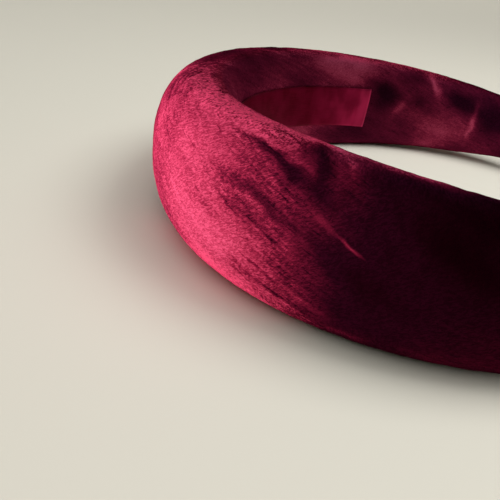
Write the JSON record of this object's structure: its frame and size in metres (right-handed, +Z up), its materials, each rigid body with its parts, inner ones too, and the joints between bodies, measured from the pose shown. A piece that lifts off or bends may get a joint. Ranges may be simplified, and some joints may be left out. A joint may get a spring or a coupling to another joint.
{
  "type": "padded headband",
  "caption": "Open ring-shaped padded headband covered in crushed velvet, thick over the crown and tapering to rounded tips, with a ribbon lining inside.",
  "frame": {"origin": "bottom centre of the box round the headband, on the surface that it lies on", "axes": "+Z up from the surface, +X from the crown towards the open side between the tips, +Y from one arm to the other"},
  "size_m": [0.1546, 0.1742, 0.0419],
  "materials": {
    "velvet": "crushed velvet",
    "ribbon": "satin"
  },
  "bodies": {
    "root": {"pad": "velvet", "ribbon_lining": "ribbon"}
  },
  "joints": []
}
